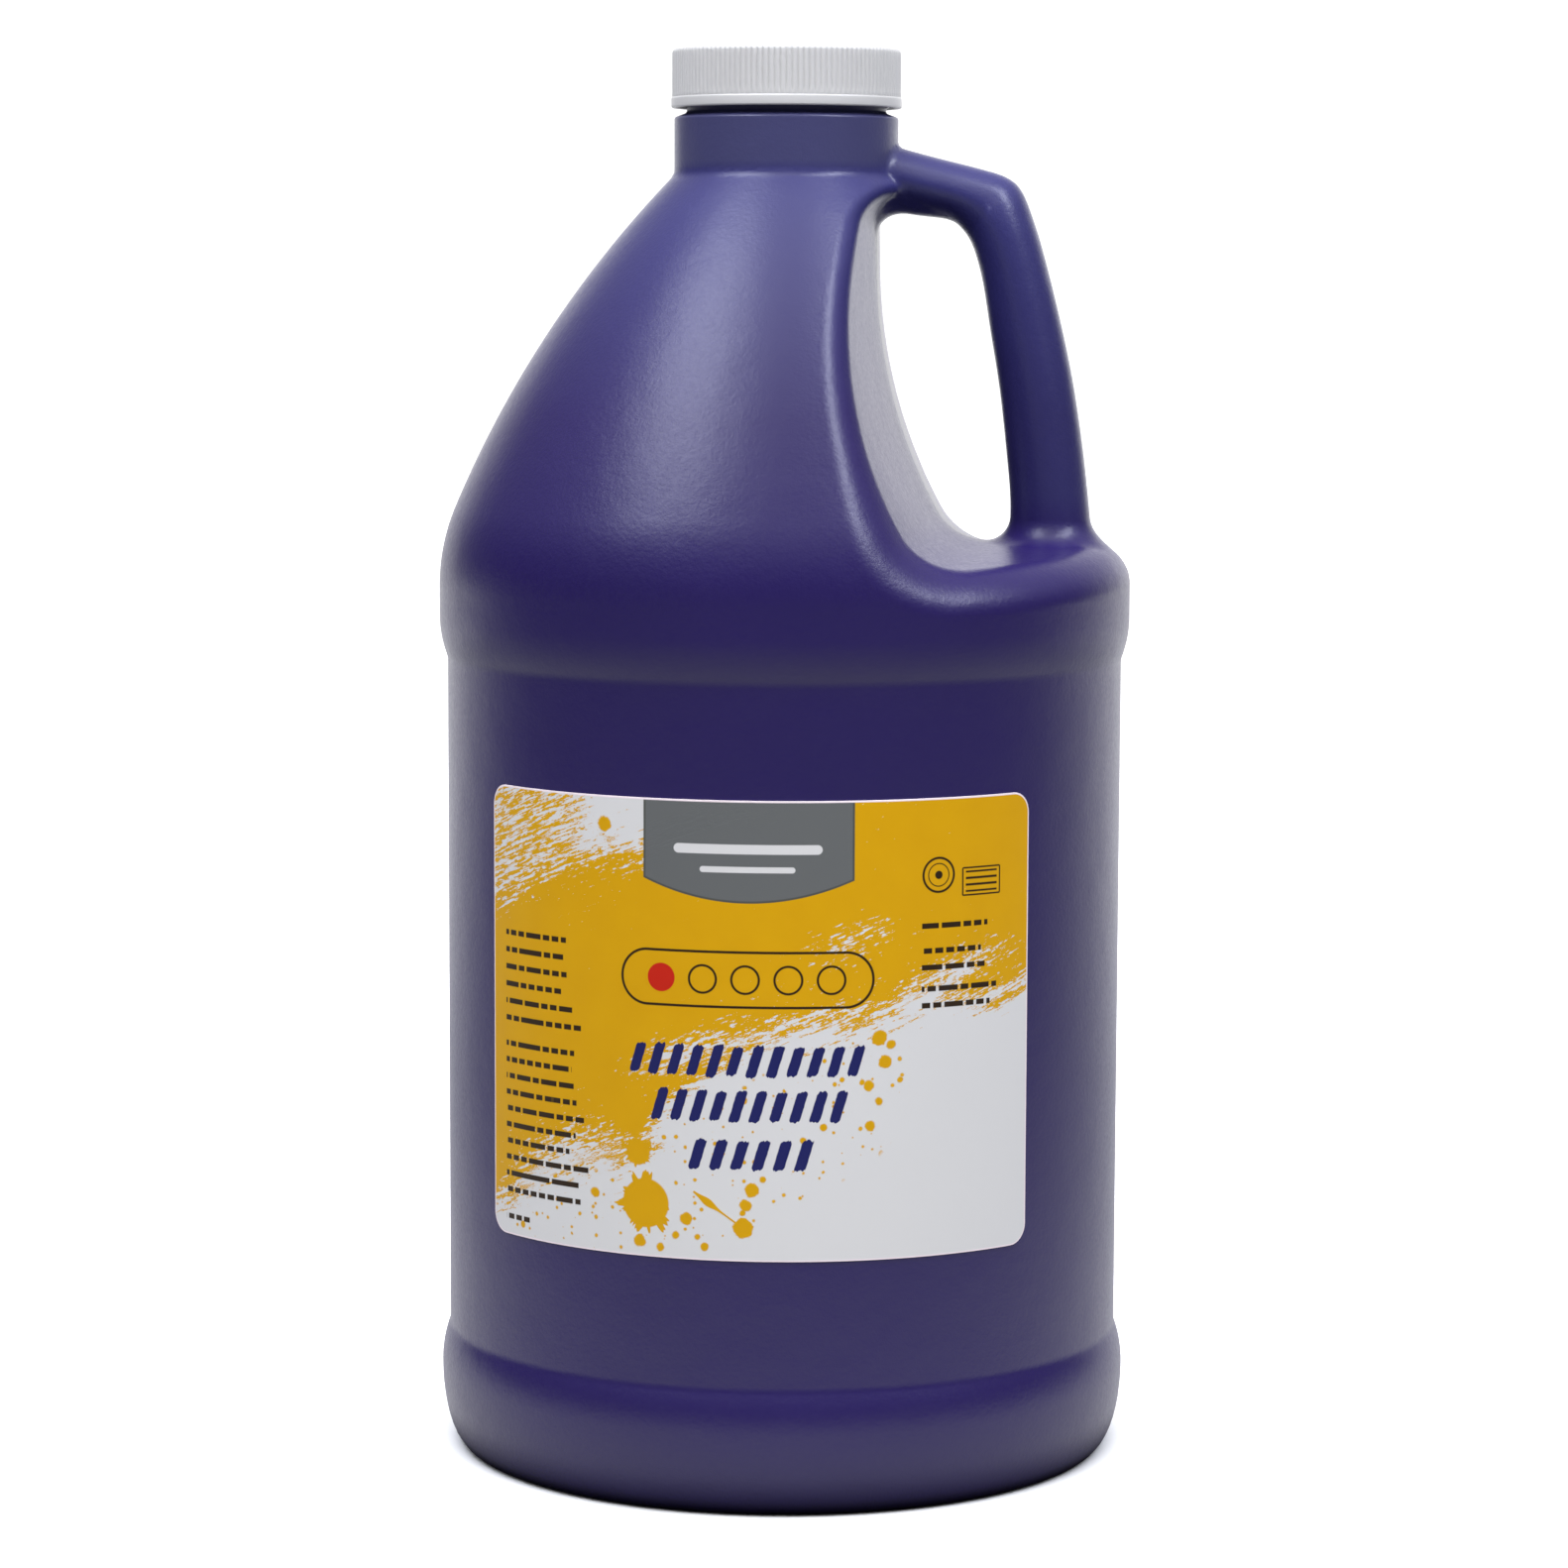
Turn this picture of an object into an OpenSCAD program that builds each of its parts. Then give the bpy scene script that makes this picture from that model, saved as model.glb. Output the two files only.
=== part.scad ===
// Half-gallon round paint jug with a through handle, a ribbed 38 mm screw cap, its foam liner,
// a front label and its filling of paint.
// The origin is the centre of the foot ring, on the surface that the jug stands on. +Z is up,
// the handle is on the +X side and the label faces -Y. All sizes are in millimetres.

/* [Body] */
// Radius of the two bumper rings, the widest part of the body
bumper_r = 60.9; // [60.5:0.1:62]
// Radius of the label panel between the bumper rings
panel_r = 59.5; // [59:0.1:60]
// Outer radius of the foot ring that the jug stands on
foot_r = 55.9; // [53:0.1:57]
// Height of the widest line of the lower bumper ring
heel_h = 14.6; // [12:0.1:18]
// Height at which the upper bumper ring reaches its full radius
bumper_z = 148; // [140:0.5:150]
// Height at which the shoulder starts to curve in
shoulder_z = 153.2; // [152:0.1:154]
// Radius of the tight curve at the shoulder
shoulder_arc = 35.5; // [30:0.5:40]
// Angle that the shoulder curve turns through before the dome
shoulder_turn = 23; // [20:0.5:25]
// Radius of the long curve of the dome
dome_arc = 190; // [180:1:200]
// Height of the pushed-up middle of the base
dish_h = 5; // [3:0.5:8]
// Thickness of the moulded wall
wall = 1.2; // [0.9:0.1:1.6]

/* [Neck] */
// Outer radius of the neck below the screw finish
neck_r = 19.6; // [19.3:0.1:20]
// Height of the ledge on top of the plain neck
ledge_z = 235.2; // [234.5:0.1:235.6]
// Height of the rim of the mouth
rim_z = 244.7; // [244.3:0.1:245]
// Radius of the mouth
mouth_r = 15; // [14:0.1:15.5]
// Radius of the screw finish at the root of its thread
finish_r = 17.45; // [17.3:0.05:17.5]
// Height of the neck's thread above its root
thread_depth = 1.2; // [1:0.05:1.25]
// Rise of the thread in one turn, six turns to the inch
thread_pitch = 4.233; // [4:0.001:4.5]

/* [Handle] */
// Half of the handle's depth, front to back
grip_depth = 7.6; // [6.5:0.1:9]
// Draft angle of the recess around the handle opening, on each side of the middle
cove_draft = 4; // [2:0.5:6]
// Radius of the recess's long wall on the body side
cove_wall_arc = 88; // [84:1:92]
// Height of the recess floor, under the handle opening
cove_floor_z = 161.5; // [160:0.5:163]

/* [Cap] */
// Outer radius of the cap over its ribs
cap_r = 20; // [19.9:0.05:20.1]
// Height of the cap's lower edge
cap_low_z = 236.7; // [236.6:0.1:237]
// Height of the cap's top face, the top of the whole object
cap_top_z = 247; // [246.8:0.1:247.4]
// Number of ribs around the cap
rib_count = 124; // [60:2:140]
// Depth of the grooves between the ribs
rib_depth = 0.25; // [0.15:0.05:0.35]

/* [Label] */
// Width of the label, measured around the body
label_w = 103.6; // [80:0.2:110]
// Height of the label
label_h = 77.4; // [60:0.2:90]
// Height of the label's lower edge
label_z = 44.1; // [40:0.1:46]
// Radius of the label's corners
label_corner = 3.5; // [2:0.1:6]
// Thickness of the label film
label_t = 0.2; // [0.1:0.05:0.3]

/* [Paint] */
// Height of the paint's surface in the jug
fill_z = 197.8; // [150:0.5:205]

/* [Hidden] */

ROUND = 96; // facets shown around a turned face
foot_inner_r = 50; // inner radius of the foot ring
dish_r = 42; // radius of the flat part of the pushed-up base
bumper_arc = 19.5; // radius of the curve that leads out of a bumper ring
crease_arc = 4; // radius of the crease between a bumper ring and the panel
neck_fillet = 2; // radius of the curve from the dome into the neck
collar_h = 0.8; // height of the slope from the neck ledge in to the screw finish
neck_taper_h = 3; // height of the slope inside, from the neck to the mouth
cove_top = [21.5, 216]; // centre of the round top of the recess
cove_top_arc = 5.5; // its radius
cove_wall_z = 209; // the recess's wall is upright above this height and curved below it
cove_floor_arc = 10; // radius of the recess's lower corner
cove_out_x = 80; // how far out the recess is cut, past the body
cove_half_y = 70; // how far to the front and the back it is cut, past the body
thread_crest_w = 1.1; // width of the neck's thread at its crest
thread_root_w = 2.2; // width of the neck's thread at its root
thread_turns = 1.1; // turns of thread on the neck
thread_low_z = ledge_z + 2.3; // height of the middle of the thread at its lower end
cap_bore_r = finish_r + thread_depth + 0.25; // inside of the cap's skirt, clear of the neck's thread
cap_thread_depth = 1.15; // height of the cap's thread above the skirt
cap_panel_t = 1.3; // thickness of the cap's top panel
cap_edge_arc = 0.9; // rounding of the cap's top edge
bead_r = cap_r + 0.16; // radius of the smooth bead around the cap's lower edge
bead_h = 1.9; // height of the bead
liner_gap = 0.05; // play above and below the liner, and its clearance to the skirt is four times this
paint_gap = 0.2; // play between the paint and the wall
thread_sink = 0.4; // how deep a thread's root is set into the wall it stands on
thread_steps = 30; // rings along one turn of a thread

crease_turn = acos(1 - (bumper_r - panel_r) / (bumper_arc + crease_arc));
shoulder_c = [bumper_r - shoulder_arc, shoulder_z];
dome_c = shoulder_c - (dome_arc - shoulder_arc) * [cos(shoulder_turn), sin(shoulder_turn)];
neck_turn = acos((neck_r + neck_fillet - dome_c.x) / (dome_arc + neck_fillet));
cove_wall_c = [cove_top.x - cove_top_arc + cove_wall_arc, cove_wall_z];
cove_wall_turn = asin((cove_wall_z - cove_floor_z - cove_floor_arc) / (cove_wall_arc - cove_floor_arc));

// Stations along the handle from the neck to the shoulder. Each is the outer edge's x and z,
// the inner edge's x and z, and the half depth as a share of grip_depth.
handle_stations = [
    [12, 232.0, 12, 221.5, 0.95],
    [25.5, 228.4, 25.3, 218.5, 0.93],
    [33.5, 226.4, 29.2, 217.3, 0.93],
    [38.6, 224.8, 31.2, 215.6, 0.95],
    [41.3, 222.4, 32.6, 213.5, 0.97],
    [43.4, 217.4, 33.7, 210.5, 1],
    [45.4, 211.0, 34.8, 206.0, 1],
    [48.1, 200.6, 36.1, 198.0, 1],
    [50.4, 190.2, 37.7, 188.5, 1],
    [52.1, 179.8, 38.9, 178.5, 1],
    [53.4, 169.4, 39.8, 168.6, 1.02],
    [54.2, 160.0, 39.6, 160.0, 1.06],
    [54.2, 150.0, 39.6, 150.0, 1.06]
];

function direction(angle) = [cos(angle), sin(angle)];

// Points along an arc in a plane, from angle a0 to angle a1
function arc(centre, radius, a0, a1, steps) =
    [for (i = [0:steps]) centre + radius * direction(a0 + (a1 - a0) * i / steps)];

// A smooth curve's value between the second and third of four stations, at share t
function between(p0, p1, p2, p3, t) =
    0.5 * (2 * p1 + (p2 - p0) * t + (2 * p0 - 5 * p1 + 4 * p2 - p3) * t * t
        + (3 * p1 - 3 * p2 + p3 - p0) * t * t * t);

// The stations with steps - 1 more between each two of them
function smooth(list, steps) = let (last = len(list) - 1) concat(
    [for (i = [0:last - 1], k = [0:steps - 1])
        between(list[max(i - 1, 0)], list[i], list[i + 1], list[min(i + 2, last)], k / steps)],
    [list[last]]);

// The body's side from the foot ring to the neck, moved in by a depth
function side(inset) = concat(
    [for (a = [0:15:75]) [foot_r + (bumper_r - foot_r - inset) * sin(a), heel_h - (heel_h - inset) * cos(a)]],
    arc([bumper_r - bumper_arc, heel_h], bumper_arc - inset, 0, crease_turn, 3),
    arc([panel_r + crease_arc, heel_h + (bumper_arc + crease_arc) * sin(crease_turn)],
        crease_arc + inset, 180 + crease_turn / 2, 180, 2),
    arc([panel_r + crease_arc, bumper_z - (bumper_arc + crease_arc) * sin(crease_turn)],
        crease_arc + inset, 180, 180 - crease_turn / 2, 2),
    arc([bumper_r - bumper_arc, bumper_z], bumper_arc - inset, -crease_turn, 0, 3),
    arc(shoulder_c, shoulder_arc - inset, 0, shoulder_turn, 5),
    arc(dome_c, dome_arc - inset, shoulder_turn + 1.5, neck_turn, 12),
    arc(dome_c + (dome_arc + neck_fillet) * direction(neck_turn), neck_fillet + inset,
        180 + neck_turn * 2 / 3, 180, 3));

// The underside of the base, from the middle out to the foot ring
function base(inset) = [[0, dish_h + inset], [dish_r, dish_h - 1.5 + inset], [foot_inner_r, inset]];

// The recess's outline in the XZ plane, grown by a distance
function cove_outline(grow) = concat(
    [[cove_out_x, cove_top.y + cove_top_arc + grow]],
    arc(cove_top, cove_top_arc + grow, 90, 180, 5),
    arc(cove_wall_c, cove_wall_arc + grow, 180, 180 + cove_wall_turn, 8),
    arc(cove_wall_c + (cove_wall_arc - cove_floor_arc) * direction(180 + cove_wall_turn),
        cove_floor_arc + grow, 190 + cove_wall_turn, 270, 4),
    [[cove_out_x, cove_floor_z - grow]]);

// A closed solid through a list of rings of points, all with the same number of points
module loft(rings) {
    sides = len(rings[0]);
    last = len(rings) - 1;
    walls = [for (r = [0:last - 1], k = [0:sides - 1]) let (
            a = r * sides + k,
            b = r * sides + (k + 1) % sides)
        each [[a, b, b + sides], [a, b + sides, a + sides]]];
    start = [for (k = [sides - 1:-1:0]) k];
    end = [for (k = [0:sides - 1]) last * sides + k];
    polyhedron(points = [for (ring = rings) each ring], faces = concat([start, end], walls));
}

module turned(outline) {
    rotate_extrude($fn = ROUND) polygon(outline);
}

// The recess that gives the fingers room, wider to the front and the back
module cove(grow) {
    loft([for (y = [-cove_half_y, 0, cove_half_y])
        [for (p = cove_outline(grow + abs(y) * tan(cove_draft))) [p.x, y, p.y]]]);
}

// The handle's bar and grip, thinner all round by a depth
module handle(inset) {
    sides = 24;
    loft([for (s = smooth(handle_stations, 3)) let (
            outer = [s[0], 0, s[1]],
            inner = [s[2], 0, s[3]],
            middle = (outer + inner) / 2,
            across = (outer - inner) / norm(outer - inner) * (norm(outer - inner) / 2 - inset),
            depth = [0, grip_depth * s[4] - inset, 0])
        [for (k = [0:sides - 1]) middle + across * cos(360 * k / sides) + depth * sin(360 * k / sides)]]);
}

// The body and the handle as one solid, moved in by a depth, under the given neck outline
module envelope(inset, neck_outline) {
    difference() {
        turned(concat(base(inset), side(inset), neck_outline));
        cove(inset);
    }
    handle(inset);
}

// A right-hand thread around the Z axis. Its ridge points out if depth is positive, else in.
module thread(radius, depth, low_z, start, turns, root_w, crest_w) {
    steps = round(turns * thread_steps);
    ends = 3;
    sink = sign(depth) * thread_sink;
    loft([for (i = [0:steps]) let (
            angle = start + i * 360 * turns / steps,
            z = low_z + thread_pitch * i * turns / steps,
            rise = min(i, steps - i, ends) / ends,
            tall = radius + depth * max(rise, 0.1),
            low = radius - sink,
            ring = [[low, z - root_w / 2], [tall, z - crest_w / 2], [tall, z + crest_w / 2], [low, z + root_w / 2]])
        [for (k = [0:3]) let (p = ring[depth > 0 ? k : 3 - k]) [p.x * cos(angle), p.x * sin(angle), p.y]]]);
}

// The moulded jug: a hollow wall with a hollow handle and a threaded neck
module bottle() color("#3a3372") {
    difference() {
        union() {
            envelope(0, [[neck_r, ledge_z], [finish_r, ledge_z + collar_h], [finish_r, rim_z], [0, rim_z]]);
            thread(finish_r, thread_depth, thread_low_z, 0, thread_turns, thread_root_w, thread_crest_w);
        }
        envelope(wall, [
            [neck_r - wall, ledge_z - neck_taper_h],
            [mouth_r, ledge_z],
            [mouth_r, rim_z + 1],
            [0, rim_z + 1]
        ]);
    }
}

// One ring of ribs around the cap's skirt
module ribs(height) {
    step = 360 / rib_count;
    linear_extrude(height = height)
        polygon([for (i = [0:rib_count - 1], side = [-1, 1], shape = side < 0 ? [0, 1] : [1, 0])
            (cap_r - rib_depth * (1 - shape)) * direction(step * (i + side * (0.35 - 0.15 * shape)))]);
}

// The ribbed screw cap with its internal thread
module cap() color("#d6d8da") {
    skirt_r = cap_r - rib_depth;
    bead_top_z = cap_low_z + bead_h;
    difference() {
        union() {
            turned(concat(
                [[0, cap_low_z], [bead_r - 0.3, cap_low_z], [bead_r, cap_low_z + 0.3]],
                [[bead_r, bead_top_z - 0.4], [skirt_r, bead_top_z]],
                arc([skirt_r - cap_edge_arc, cap_top_z - cap_edge_arc], cap_edge_arc, 0, 90, 4),
                [[0, cap_top_z]]));
            translate([0, 0, bead_top_z - 0.4]) ribs(cap_top_z - cap_edge_arc - bead_top_z + 0.4);
        }
        translate([0, 0, cap_low_z - 1])
            cylinder(r = cap_bore_r, h = cap_top_z - cap_panel_t - cap_low_z + 1, $fn = ROUND);
    }
    thread(cap_bore_r, -cap_thread_depth, thread_low_z + thread_pitch / 6, 240, 1, 1.5, 0.7);
}

// The foam disc that seals the mouth, held in the top of the cap
module cap_liner() color("#f4f2ea") {
    translate([0, 0, rim_z + liner_gap])
        cylinder(r = cap_bore_r - 4 * liner_gap, h = cap_top_z - cap_panel_t - rim_z - 2 * liner_gap, $fn = ROUND);
}

// The label film, a rounded rectangle bent around the front of the panel
module front_label() color("#e0a80a") {
    inner_r = panel_r + 0.02;
    half_turn = label_w / 2 / panel_r * 180 / PI;
    corner_turn = label_corner / panel_r * 180 / PI;
    // Turns from the middle of the label, closer together around the corners
    turns = concat(
        [for (a = [0:15:90]) -half_turn + corner_turn * (1 - cos(a))],
        [for (i = [1:39]) (half_turn - corner_turn) * (i / 20 - 1)],
        [for (a = [90:-15:0]) half_turn - corner_turn * (1 - cos(a))]);
    loft([for (t = turns) let (
            into = min(half_turn - abs(t), corner_turn) / corner_turn,
            cut = label_corner * (1 - sqrt(max(0, 1 - (1 - into) * (1 - into)))) * 0.98,
            out = [sin(t), -cos(t), 0])
        [for (p = [[inner_r, cut], [inner_r + label_t, cut], [inner_r + label_t, label_h - cut], [inner_r, label_h - cut]])
            out * p.x + [0, 0, label_z + p.y]]]);
}

// The paint that fills the jug, up to its level surface
module paint() color("#2c2460") {
    intersection() {
        envelope(wall + paint_gap, [[0, rim_z]]);
        translate([-cove_half_y, -cove_half_y, 0]) cube([2 * cove_half_y, 2 * cove_half_y, fill_z]);
    }
}

bottle();
cap();
cap_liner();
front_label();
paint();
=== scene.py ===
import functools
import math

import bpy
import numpy as np
from mathutils import Euler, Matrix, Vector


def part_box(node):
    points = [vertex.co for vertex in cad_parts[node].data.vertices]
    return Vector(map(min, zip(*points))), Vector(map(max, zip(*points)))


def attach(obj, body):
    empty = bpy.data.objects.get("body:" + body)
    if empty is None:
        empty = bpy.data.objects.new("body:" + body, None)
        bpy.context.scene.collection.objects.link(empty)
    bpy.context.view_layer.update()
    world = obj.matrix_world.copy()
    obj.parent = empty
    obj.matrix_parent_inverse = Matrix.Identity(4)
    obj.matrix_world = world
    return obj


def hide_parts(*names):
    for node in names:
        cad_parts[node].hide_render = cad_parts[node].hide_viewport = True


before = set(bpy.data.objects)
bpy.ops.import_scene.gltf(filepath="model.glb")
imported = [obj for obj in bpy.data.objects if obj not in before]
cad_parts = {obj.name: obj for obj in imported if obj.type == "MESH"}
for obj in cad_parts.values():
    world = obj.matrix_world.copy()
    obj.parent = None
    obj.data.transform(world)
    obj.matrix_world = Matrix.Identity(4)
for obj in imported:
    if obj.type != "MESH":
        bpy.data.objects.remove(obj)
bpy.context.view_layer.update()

# Sizes are in millimetres until a mesh is made, and in metres on every Blender object.
MM = 0.001


def box_mm(node):
    """Lowest and highest corner of a CAD node, in millimetres."""
    low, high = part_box(node)
    return np.array(low) / MM, np.array(high) / MM


BOTTLE_HIGH = box_mm("bottle")[1]
CAP_LOW, CAP_HIGH = box_mm("cap")
LINER_LOW, LINER_HIGH = box_mm("cap_liner")
LABEL_LOW, LABEL_HIGH = box_mm("front_label")
FILL_Z = box_mm("paint")[1][2]

# Body, from the foot up
BUMPER_R = BOTTLE_HIGH[0]
PANEL_R = BUMPER_R - 1.4
FOOT_R = BUMPER_R - 5.0
FOOT_INNER_R = 50.0
FOOT_EDGE = 0.8
DISH_R = 42.0
DISH_H = 5.0
DISH_FALL = 1.5
HEEL_H = 14.6
BUMPER_ARC = 19.5
CREASE_ARC = 4.0
BUMPER_Z = 148.0
SHOULDER_Z = 153.2
SHOULDER_ARC = 35.5
SHOULDER_TURN = math.radians(23)
DOME_ARC = 190.0
NECK_R = 19.6
NECK_FILLET = 2.0
WALL = 1.2
PANEL_ROWS = 12

# Neck finish
RIM_Z = BOTTLE_HIGH[2]
LEDGE_Z = RIM_Z - 9.5
COLLAR_H = 0.8
TAPER_H = 3.0
FINISH_R = 17.45
MOUTH_R = 15.0
THREAD_DEPTH = 1.2
THREAD_PITCH = 4.233
THREAD_LOW_Z = LEDGE_Z + 2.3
THREAD_TURNS = 1.1
THREAD_CREST = 1.1
THREAD_ROOT = 2.2
THREAD_RUN_OUT = 0.06

# Recess around the handle opening
COVE_TOP = np.array([21.5, 216.0])
COVE_TOP_ARC = 5.5
COVE_WALL_Z = 209.0
COVE_WALL_ARC = 88.0
COVE_FLOOR_ARC = 10.0
COVE_FLOOR_Z = 161.5
COVE_DRAFT = math.radians(4)
COVE_CROWN = 3.0
# Radius of the rounded edge between the recess and the jug's outside, at three heights
COVE_RIM_Z = [158.0, 178.0, 216.0]
COVE_RIM = [7.0, 4.6, 2.5]

# Stations along the handle from the neck to the shoulder: the outer edge's x and z,
# the inner edge's x and z, and the half depth
GRIP_DEPTH = 7.6
STATION_STEPS = 7
HANDLE_STATIONS = np.array([
    [12, 232.0, 12, 221.5, 0.95 * GRIP_DEPTH],
    [25.5, 228.4, 25.3, 218.5, 0.93 * GRIP_DEPTH],
    [33.5, 226.4, 29.2, 217.3, 0.93 * GRIP_DEPTH],
    [38.6, 224.8, 31.2, 215.6, 0.95 * GRIP_DEPTH],
    [41.3, 222.4, 32.6, 213.5, 0.97 * GRIP_DEPTH],
    [43.4, 217.4, 33.7, 210.5, GRIP_DEPTH],
    [45.4, 211.0, 34.8, 206.0, GRIP_DEPTH],
    [48.1, 200.6, 36.1, 198.0, GRIP_DEPTH],
    [50.4, 190.2, 37.7, 188.5, GRIP_DEPTH],
    [52.1, 179.8, 38.9, 178.5, GRIP_DEPTH],
    [53.4, 169.4, 39.8, 168.6, 1.02 * GRIP_DEPTH],
    [54.2, 160.0, 39.6, 160.0, 1.06 * GRIP_DEPTH],
    [54.2, 150.0, 39.6, 150.0, 1.06 * GRIP_DEPTH],
])
# Radius of the fillet around the handle's roots at four heights, in its middle and on its front and back
HANDLE_FILLET_Z = [165.0, 220.0, 224.5, 230.0]
HANDLE_FILLET = [4.2, 6.5, 2.0, 1.0]
HANDLE_FILLET_FRONT = [4.2, 1.2, 1.0, 1.0]

# Where the carved upper part of the jug joins the turned parts below and above it
UPPER_LOW_Z = 150.5
OUTER_TOP_Z = 233.5
INNER_TOP_Z = 231.5
# Size of the carved part's mesh cells, outside and inside, and how far its grid is off the axes
OUTER_STEP = 1.0
INNER_STEP = 1.5
GRID_SHIFT = 0.37
# Rounds that spread the mesh's points out, and rounds after them that only move the points onto the surface
SPREAD_TURNS = 3
SETTLE_TURNS = 2
# Half the distance over which the surface's slope is measured, for moving the points and for their normals
SLOPE_STEP = 0.02
NORMAL_STEP = 0.3


# ---------------------------------------------------------------------------
# Outlines of the turned parts, as rows of (radius, height)

def direction(angle):
    return np.array([math.cos(angle), math.sin(angle)])


def arc(centre, radius, start, end, steps):
    """Points along an arc, angles in degrees."""
    return [centre + radius * direction(math.radians(start + (end - start) * i / steps))
            for i in range(steps + 1)]


CREASE_TURN = math.degrees(math.acos(1 - (BUMPER_R - PANEL_R) / (BUMPER_ARC + CREASE_ARC)))
CREASE_RISE = (BUMPER_ARC + CREASE_ARC) * math.sin(math.radians(CREASE_TURN))
BUMPER_ARC_R = BUMPER_R - BUMPER_ARC
SHOULDER_C = np.array([BUMPER_R - SHOULDER_ARC, SHOULDER_Z])
DOME_C = SHOULDER_C - (DOME_ARC - SHOULDER_ARC) * direction(SHOULDER_TURN)
NECK_TURN = math.acos((NECK_R + NECK_FILLET - DOME_C[0]) / (DOME_ARC + NECK_FILLET))
NECK_C = DOME_C + (DOME_ARC + NECK_FILLET) * direction(NECK_TURN)
COVE_WALL_C = np.array([COVE_TOP[0] - COVE_TOP_ARC + COVE_WALL_ARC, COVE_WALL_Z])
COVE_WALL_TURN = math.asin((COVE_WALL_Z - COVE_FLOOR_Z - COVE_FLOOR_ARC) / (COVE_WALL_ARC - COVE_FLOOR_ARC))
COVE_FLOOR_C = COVE_WALL_C - (COVE_WALL_ARC - COVE_FLOOR_ARC) * direction(COVE_WALL_TURN)


def base_outline(inset, detail):
    """The pushed-up middle of the base, and the foot ring around it."""
    rows = [(DISH_R * share, DISH_H - DISH_FALL * share ** 2) for share in np.linspace(0, 1, detail + 1)]
    rows += [(DISH_R + 2, DISH_H - 2.1), (FOOT_INNER_R - 2, 1.0), (FOOT_INNER_R - 0.6, 0.25)]
    rows += [(FOOT_INNER_R + FOOT_EDGE, 0), (FOOT_R - FOOT_EDGE, 0)]
    return [np.array([r, z + inset]) for r, z in rows]


def heel_outline(inset, detail):
    """The rounded heel and the lower bumper above it."""
    rows = []
    for turn in np.linspace(0.06, math.pi / 2, 3 * detail):
        r = FOOT_R + (BUMPER_R - FOOT_R - inset) * math.sin(turn)
        rows.append(np.array([r, HEEL_H - (HEEL_H - inset) * math.cos(turn)]))
    return rows + arc(np.array([BUMPER_ARC_R, HEEL_H]), BUMPER_ARC - inset, 2, CREASE_TURN, 2 * detail)


def panel_outline(inset, detail):
    """The label panel, with the crease at each end of it."""
    low, high = HEEL_H + CREASE_RISE, BUMPER_Z - CREASE_RISE
    r, bend = PANEL_R + CREASE_ARC, CREASE_TURN * 0.8
    rows = arc(np.array([r, low]), CREASE_ARC + inset, 180 + bend, 180, detail)
    rows += [np.array([PANEL_R - inset, low + (high - low) * i / PANEL_ROWS]) for i in range(1, PANEL_ROWS)]
    return rows + arc(np.array([r, high]), CREASE_ARC + inset, 180, 180 - bend, detail)


def lower_outline(inset, detail):
    """The jug from the middle of its base up to the carved part, moved in by inset."""
    return (base_outline(inset, detail) + heel_outline(inset, detail) + panel_outline(inset, detail)
            + arc(np.array([BUMPER_ARC_R, BUMPER_Z]), BUMPER_ARC - inset, -CREASE_TURN, 0, 2 * detail))


# ---------------------------------------------------------------------------
# The carved upper part, as a field that is negative inside the plastic's outer surface

def between(p, t):
    """A smooth curve's value between the second and third of four stations, at share t."""
    return 0.5 * (2 * p[1] + (p[2] - p[0]) * t + (2 * p[0] - 5 * p[1] + 4 * p[2] - p[3]) * t ** 2
                  + (3 * p[1] - 3 * p[2] + p[3] - p[0]) * t ** 3)


def smooth(stations, steps):
    ends = np.vstack([stations[:1], stations, stations[-1:]])
    rows = [between(ends[i:i + 4], k / steps) for i in range(len(stations) - 1) for k in range(steps)]
    return np.array(rows + [stations[-1]])


HANDLE = smooth(HANDLE_STATIONS, STATION_STEPS)
HANDLE_OUTER, HANDLE_INNER, HANDLE_DEPTH = HANDLE[:, 0:2], HANDLE[:, 2:4], HANDLE[:, 4]


def turned_distance(x, y, z):
    """Distance to the dome, the shoulder and the neck."""
    r = np.hypot(x, y)
    shoulder_angle = np.arctan2(z - SHOULDER_C[1], r - SHOULDER_C[0])
    dome_angle = np.arctan2(z - DOME_C[1], r - DOME_C[0])
    land = r - BUMPER_R
    shoulder = np.hypot(r - SHOULDER_C[0], z - SHOULDER_C[1]) - SHOULDER_ARC
    dome = np.hypot(r - DOME_C[0], z - DOME_C[1]) - DOME_ARC
    fillet = NECK_FILLET - np.hypot(r - NECK_C[0], z - NECK_C[1])
    neck = r - NECK_R
    return np.select(
        [z < SHOULDER_Z, shoulder_angle < SHOULDER_TURN, dome_angle < NECK_TURN, z < NECK_C[1]],
        [land, shoulder, dome, fillet], neck)


def cove_distance(x, y, z):
    """Distance to the recess, which widens to the front and the back."""
    wall_angle = np.arctan2(COVE_WALL_C[1] - z, COVE_WALL_C[0] - x)
    top_arc = np.hypot(x - COVE_TOP[0], z - COVE_TOP[1]) - COVE_TOP_ARC
    top = z - COVE_TOP[1] - COVE_TOP_ARC
    wall = np.hypot(x - COVE_WALL_C[0], z - COVE_WALL_C[1]) - COVE_WALL_ARC
    floor_arc = np.hypot(x - COVE_FLOOR_C[0], z - COVE_FLOOR_C[1]) - COVE_FLOOR_ARC
    outline = np.select(
        [(z >= COVE_TOP[1]) & (x <= COVE_TOP[0]), z >= COVE_TOP[1], z >= COVE_WALL_Z,
         wall_angle <= COVE_WALL_TURN, x <= COVE_FLOOR_C[0]],
        [top_arc, top, COVE_TOP[0] - COVE_TOP_ARC - x, wall, floor_arc], COVE_FLOOR_Z - z)
    spread = np.sqrt(y ** 2 + COVE_CROWN ** 2) - COVE_CROWN
    return (outline - spread * math.tan(COVE_DRAFT)) * math.cos(COVE_DRAFT)


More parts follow.
